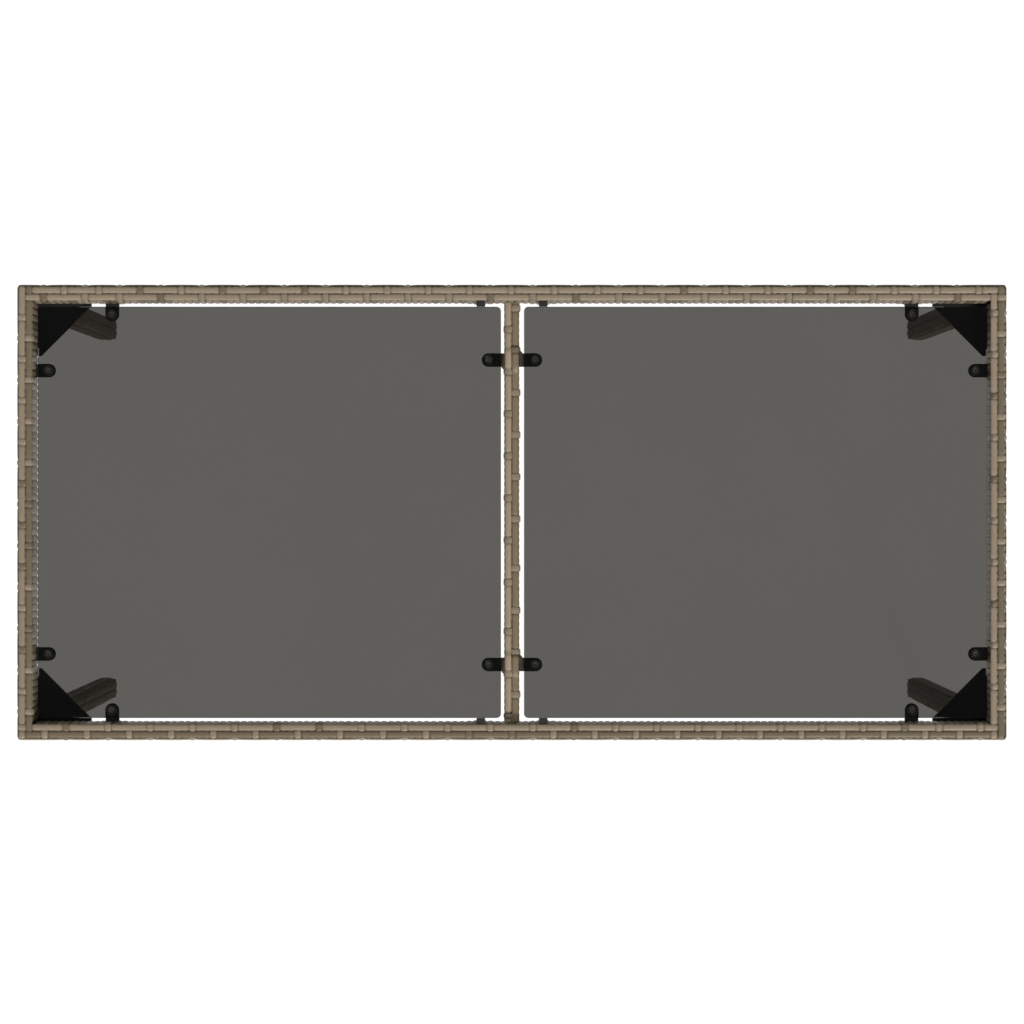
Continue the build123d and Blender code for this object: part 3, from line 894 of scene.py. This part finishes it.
# Brightness painted on a cup at radii from its axis: painted light on the stem, where light comes up through
# its tab's hole, darker in the middle, painted shade over the cone and a lighter rim
CUP_RADII = (0.0, 0.9, 1.3, 3.0, 3.5, 5.0, 5.4)
CUP_PAINTED_LIGHT = (0.1, 0.15, 0.65, 0.55, 0.1, 0.12, 0.3)
TAB_ROUND_END = 7.5


def cup_centres(pane_side):
    """Tab-top centres of the six round tab ends under one pane."""
    centres = []
    for side, y_way in (("front", -1), ("back", 1)):
        x_way = -1 if pane_side == "left" else 1
        low, high = box_mm(f"long_rail_tab_{side}_{pane_side}")
        y_end = high[1] if y_way < 0 else low[1]
        centres.append(((low[0] + high[0]) / 2, y_end + y_way * TAB_ROUND_END, high[2]))
        low, high = box_mm(f"short_rail_tab_{side}_{pane_side}")
        x_end = high[0] if x_way < 0 else low[0]
        centres.append((x_end + x_way * TAB_ROUND_END, (low[1] + high[1]) / 2, high[2]))
        low, high = box_mm(f"cross_bar_strip_{side}")
        x_end = low[0] if x_way < 0 else high[0]
        centres.append((x_end - x_way * TAB_ROUND_END, (low[1] + high[1]) / 2, high[2]))
    return centres


def turned_cups(name, centres, material):
    """Cups turned from their profile, closed on their axes."""
    shell = bmesh.new()
    painted_lights = []
    for centre in centres:
        rings = []
        for radius, height in CUP_PROFILE:
            # Painted light and shade by the point's radius from the cup's axis
            painted_light = float(np.interp(radius, CUP_RADII, CUP_PAINTED_LIGHT))
            painted_lights.extend([painted_light] * (CUP_SEGMENTS if radius else 1))
            if radius == 0.0:
                rings.append([shell.verts.new((centre[0] * MM, centre[1] * MM, (centre[2] + height) * MM))])
                continue
            ring = []
            for step in range(CUP_SEGMENTS):
                angle = 2 * math.pi * step / CUP_SEGMENTS
                x = centre[0] + radius * math.cos(angle)
                y = centre[1] + radius * math.sin(angle)
                ring.append(shell.verts.new((x * MM, y * MM, (centre[2] + height) * MM)))
            rings.append(ring)
        for lower, upper in zip(rings[:-1], rings[1:]):
            for step in range(CUP_SEGMENTS):
                after = (step + 1) % CUP_SEGMENTS
                corners = [lower[step % len(lower)], lower[after % len(lower)]]
                corners += [upper[after % len(upper)], upper[step % len(upper)]]
                shell.faces.new(dict.fromkeys(corners))
    bmesh.ops.recalc_face_normals(shell, faces=shell.faces)
    mesh = bpy.data.meshes.new(name)
    shell.to_mesh(mesh)
    shell.free()
    mesh.attributes.new("painted_light", "FLOAT", "POINT").data.foreach_set("value", painted_lights)
    mesh.polygons.foreach_set("use_smooth", np.ones(len(mesh.polygons), dtype=bool))
    mesh.materials.append(material)
    piece = bpy.data.objects.new(name, mesh)
    bpy.context.scene.collection.objects.link(piece)
    return piece


# ---------------------------------------------------------------- the table

wicker = wicker_material()
FINISHES = {
    "frame_steel": speckled("frame_steel", (0.020, 0.020, 0.019), 0.45, 900.0, 0.0002, specular=0.3),
    "black_steel": speckled("black_steel", (0.0105, 0.0105, 0.0098), 0.5, 900.0, 0.0002, specular=0.2),
    "smoked_glass": smoked_glass(),
    "stop_rubber": speckled("stop_rubber", (0.012, 0.012, 0.011), 0.6, 1500.0, 0.0001, specular=0.3),
    "foot_plastic": speckled("foot_plastic", (0.022, 0.021, 0.019), 0.45, 1200.0, 0.0001),
    "zinc_steel": speckled("zinc_steel", (0.52, 0.53, 0.54), 0.32, 600.0, 0.0001, metallic=1.0),
}
soft_cup = cup_material()


def put(piece, slot, *nodes):
    """Lets a piece ride on the frame in place of CAD nodes. slot is not used."""
    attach(piece, "frame")
    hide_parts(*nodes)


long_corner = middle_of("right_rail_tube")[0]
short_corner = middle_of("back_rail_tube")[1]

# Which way each top row's ends go: under the crossing rail's nearer or farther row, or over the edge
LONG_ENDS = {"top_outer": [(-1, "near"), (-1, "far"), (1, "far")], "top_inner": [(-1, "far"), (1, "near")]}
SHORT_ENDS = {"top_outer": [(1, "near")], "top_inner": [(-1, "near"), (1, "far")]}

# Stations along a rail, as parts of its length, at which its wraps' drift from even spacing is given
DRIFT_STATIONS = (0.0, 0.07, 0.5, 0.68, 1.0)
NO_DRIFT = (0.0, 0.0, 0.0, 0.0, 0.0)

# The rails' weaves: the number of wraps, the first one that passes over a row, the one before which
# they are counted one off, and what weave_rail says of the other values
LONG_RAIL = {"wraps": 137, "first": 9, "skip": 9, "ends": LONG_ENDS, "bump_height": 1.4, "shift": 0.0}
SHORT_RAIL = {
    "wraps": 61, "first": 2, "skip": None, "ends": SHORT_ENDS, "bump_height": 2.4, "drift": NO_DRIFT,
}
RAILS = {
    "back": {
        **LONG_RAIL, "fullness": 1.6, "looseness": 0.75, "dark": ("upper_side",),
        "drift": (1.1, 0.5, -7.7, -2.4, -0.9),
    },
    "front": {
        **LONG_RAIL, "fullness": 1.0, "looseness": 1.1, "dark": ("top_outer", "middle_side"),
        "drift": (1.6, 0.9, -6.4, -1.7, 0.1),
    },
    "left": {
        **SHORT_RAIL, "fullness": 0.0, "looseness": 0.25, "dark": ("top_inner", "lower_side"),
        "shift": 0.0,
    },
    "right": {
        **SHORT_RAIL, "fullness": 1.6, "looseness": 0.0, "dark": ("top_outer", "middle_side"),
        "shift": -1.3,
    },
}

for side, way in (("back", 1), ("front", -1)):
    welded = [f"{kind}_{side}_{end}" for kind in ("long_rail_tab", "glass_stop") for end in ("left", "right")]
    piece = weave_rail(
        f"{side}_rail_weave", f"{side}_rail_tube", (way, 0, 0), (0, way, 0), long_corner,
        [way * middle_of(name)[0] for name in welded],
        {way: RAILS["right"]["shift"], -way: -RAILS["left"]["shift"]}, wicker, **RAILS[side],
    )
    put(piece, "wicker", f"{side}_rail_wicker")

for end, way in (("left", -1), ("right", 1)):
    welded = [f"short_rail_tab_{side}_{end}" for side in ("front", "back")]
    piece = weave_rail(
        f"{end}_rail_weave", f"{end}_rail_tube", (0, way, 0), (way, 0, 0), short_corner,
        [way * middle_of(name)[1] for name in welded], {-1: 0.0, 1: 0.0}, wicker, **RAILS[end],
    )
    put(piece, "wicker", f"{end}_rail_wicker")

put(weave_cross_bar("cross_bar_weave", "cross_bar_tube", wicker), "wicker", "cross_bar_wicker")

for end in ("left", "right"):
    for side in ("front", "back"):
        piece = weave_leg(f"leg_weave_{side}_{end}", f"leg_tube_{side}_{end}", wicker)
        put(piece, "wicker", f"leg_wicker_{side}_{end}")
    put(turned_cups(f"{end}_soft_cups", cup_centres(end), soft_cup), "soft_cup", f"{end}_glass_cups")

# Finishes of the CAD pieces that are kept. The panes throw no shadow, so that what lies under them is
# lit as it is in the photo
for part in frame["record"]["subparts"]:
    thing = frame["nodes"][part["node"]]
    slot = part["material_slot"]
    if slot not in FINISHES:
        continue
    thing.material_slots[0].link = "OBJECT"
    thing.material_slots[0].material = FINISHES[slot]
    if slot == "smoked_glass":
        thing.visible_shadow = False


# ---------------------------------------------------------------- studio

# The camera looks straight down from over the table's top, a little behind its middle
EYE_HEIGHT = 2.0552
EYE_OFFSET = 0.0237
LENS = 65.14
LENS_SHIFT = -0.0205

camera_data = bpy.data.cameras.new("camera")
camera_data.sensor_width = 36.0
camera_data.lens = LENS
camera_data.shift_y = LENS_SHIFT
camera = bpy.data.objects.new("camera", camera_data)
camera.location = (0, EYE_OFFSET, cad_high[2] + EYE_HEIGHT)
bpy.context.scene.collection.objects.link(camera)
bpy.context.scene.camera = camera

# A plain white floor that shines by itself, as bright as the photo's ground
FLOOR = 8.0
floor_mesh = bpy.data.meshes.new("floor")
floor_corners = [(-FLOOR, -FLOOR, 0), (FLOOR, -FLOOR, 0), (FLOOR, FLOOR, 0), (-FLOOR, FLOOR, 0)]
floor_mesh.from_pydata(floor_corners, [], [(0, 1, 2, 3)])
floor = bpy.data.objects.new("floor", floor_mesh)
bpy.context.scene.collection.objects.link(floor)
floor_material, _, _, floor_shader = new_material("floor")
floor_shader.inputs["Base Color"].default_value = (0.04, 0.04, 0.04, 1)
floor_shader.inputs["Roughness"].default_value = 0.9
floor_shader.inputs["Specular IOR Level"].default_value = 0.0
floor_shader.inputs["Emission Color"].default_value = (1.0, 1.0, 1.0, 1)
floor_shader.inputs["Emission Strength"].default_value = 1.0
floor_mesh.materials.append(floor_material)
floor.visible_diffuse = False

# Even studio light from all round, with a dark ceiling that the glass mirrors towards the camera
SKY = 1.1

# Brightness of the studio from straight below (0) over the horizon (0.5) to straight above (1)
SKY_STEPS = ((0.001, 0.2), (0.48, 0.2), (0.62, 1.0), (0.85, 1.0), (0.965, 0.08), (0.999, 0.08))
world = bpy.data.worlds.new("studio")
bpy.context.scene.world = world
world.use_nodes = True
nodes, links = world.node_tree.nodes, world.node_tree.links
where = node(nodes, "ShaderNodeTexCoord")
parts = node(nodes, "ShaderNodeSeparateXYZ")
ramp = node(nodes, "ShaderNodeValToRGB")
half_up = node(nodes, "ShaderNodeMapRange", From_Min=-1.0, From_Max=1.0)
for position, strength in SKY_STEPS:
    stop = ramp.color_ramp.elements.new(position)
    stop.color = (strength, strength, strength, 1)
ramp.color_ramp.elements.remove(ramp.color_ramp.elements[-1])
ramp.color_ramp.elements.remove(ramp.color_ramp.elements[0])
links.new(where.outputs["Generated"], parts.inputs[0])
links.new(parts.outputs["Z"], half_up.inputs["Value"])
links.new(half_up.outputs["Result"], ramp.inputs["Fac"])
links.new(ramp.outputs["Color"], nodes["Background"].inputs["Color"])
nodes["Background"].inputs["Strength"].default_value = SKY


def soft_sun(name, place, spread, strength):
    """Even light from a far place, soft by the angle it spreads over."""
    lamp = bpy.data.lights.new(name, "SUN")
    lamp.angle = spread
    lamp.energy = strength
    holder = bpy.data.objects.new(name, lamp)
    holder.location = place
    holder.rotation_mode = "QUATERNION"
    holder.rotation_quaternion = (-holder.location).to_track_quat("-Z", "Y")
    bpy.context.scene.collection.objects.link(holder)


soft_sun("key", (1.0, -2.7, 1.85), spread=0.25, strength=3.3)

bpy.context.scene.view_settings.view_transform = "Standard"
